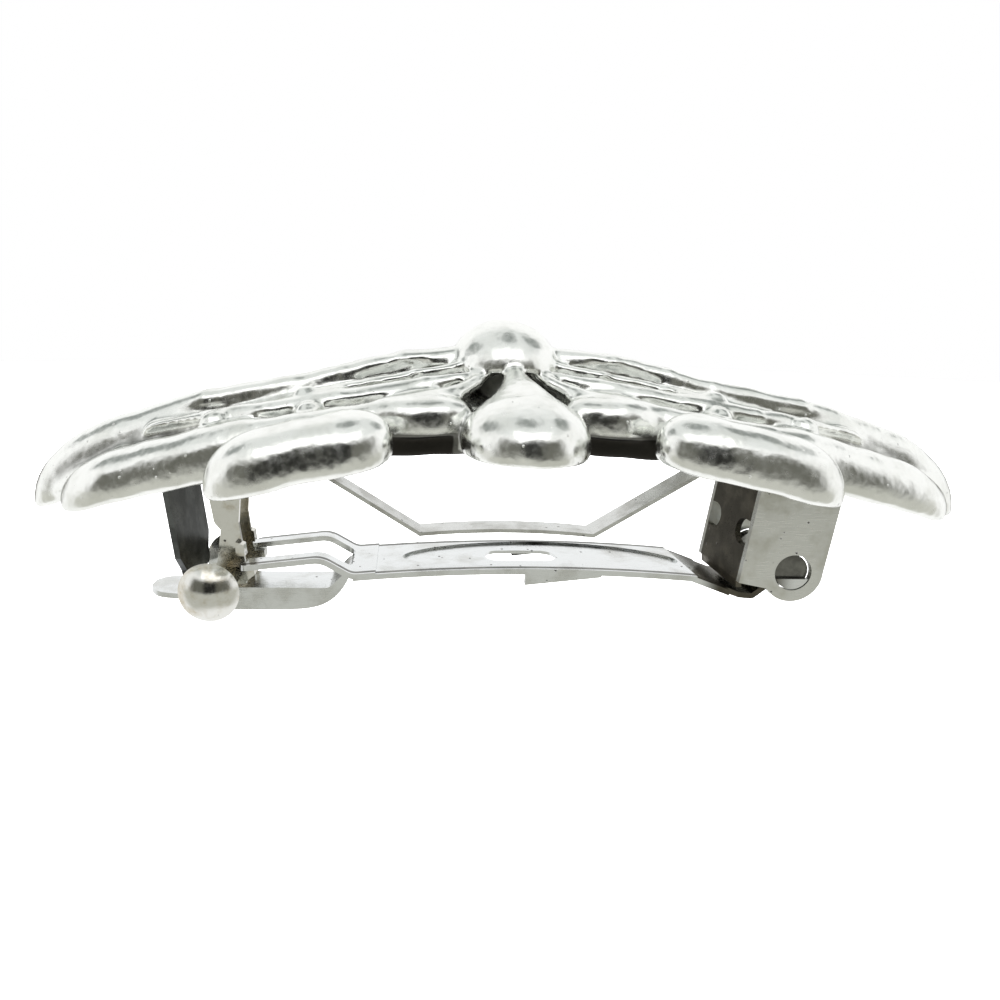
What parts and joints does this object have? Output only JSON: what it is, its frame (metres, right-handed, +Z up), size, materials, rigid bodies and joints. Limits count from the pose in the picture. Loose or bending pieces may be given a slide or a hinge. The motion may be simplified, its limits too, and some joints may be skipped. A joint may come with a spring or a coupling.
{
  "type": "automatic barrette hair clip",
  "caption": "Arched barrette: a cast silver foliate ornament on a folded steel clip with a hinged clasp arm, bowed tension spring and squeeze-to-open catch.",
  "frame": {"origin": "under the middle of the ornament, at the level of the finger pads' lowest point", "axes": "+X along the clip from catch to hinge, +Y across it, +Z up through the ornament"},
  "size_m": [0.0842, 0.0294, 0.0262],
  "materials": {
    "oxidised_silver": "cast, polished silver with blackened recesses",
    "nickel_plate": "satin nickel-plated sheet steel",
    "polished_nickel": "polished nickel-plated steel",
    "spring_steel": "plated spring steel strip"
  },
  "bodies": {
    "clip_body": {"ornament_casting": "oxidised_silver", "clip_plate": "nickel_plate", "catch_base": "nickel_plate", "tension_spring": "spring_steel", "mounting_rivet_left": "polished_nickel", "mounting_rivet_right": "polished_nickel", "catch_rivet": "polished_nickel"},
    "arm": {"clasp_arm": "nickel_plate"},
    "lever_front": {"catch_lever_front": "polished_nickel"},
    "lever_rear": {"catch_lever_rear": "polished_nickel"}
  },
  "joints": [
    {"name": "arm_open", "type": "hinge", "parent": "clip_body", "child": "arm", "pos_m": [0.0254, 0, 0.00476], "axis": [0, -1, 0], "range_deg": [0, 75]},
    {"name": "catch_squeeze_front", "type": "hinge", "parent": "clip_body", "child": "lever_front", "pos_m": [-0.0247, -0.0017, 0.0121], "axis": [1, 0, 0], "range_deg": [0, 6], "stiffness_Nm_per_rad": 0.1},
    {"name": "catch_squeeze_rear", "type": "hinge", "parent": "clip_body", "child": "lever_rear", "pos_m": [-0.0247, 0.0017, 0.0121], "axis": [-1, 0, 0], "range_deg": [0, 6], "stiffness_Nm_per_rad": 0.1}
  ]
}
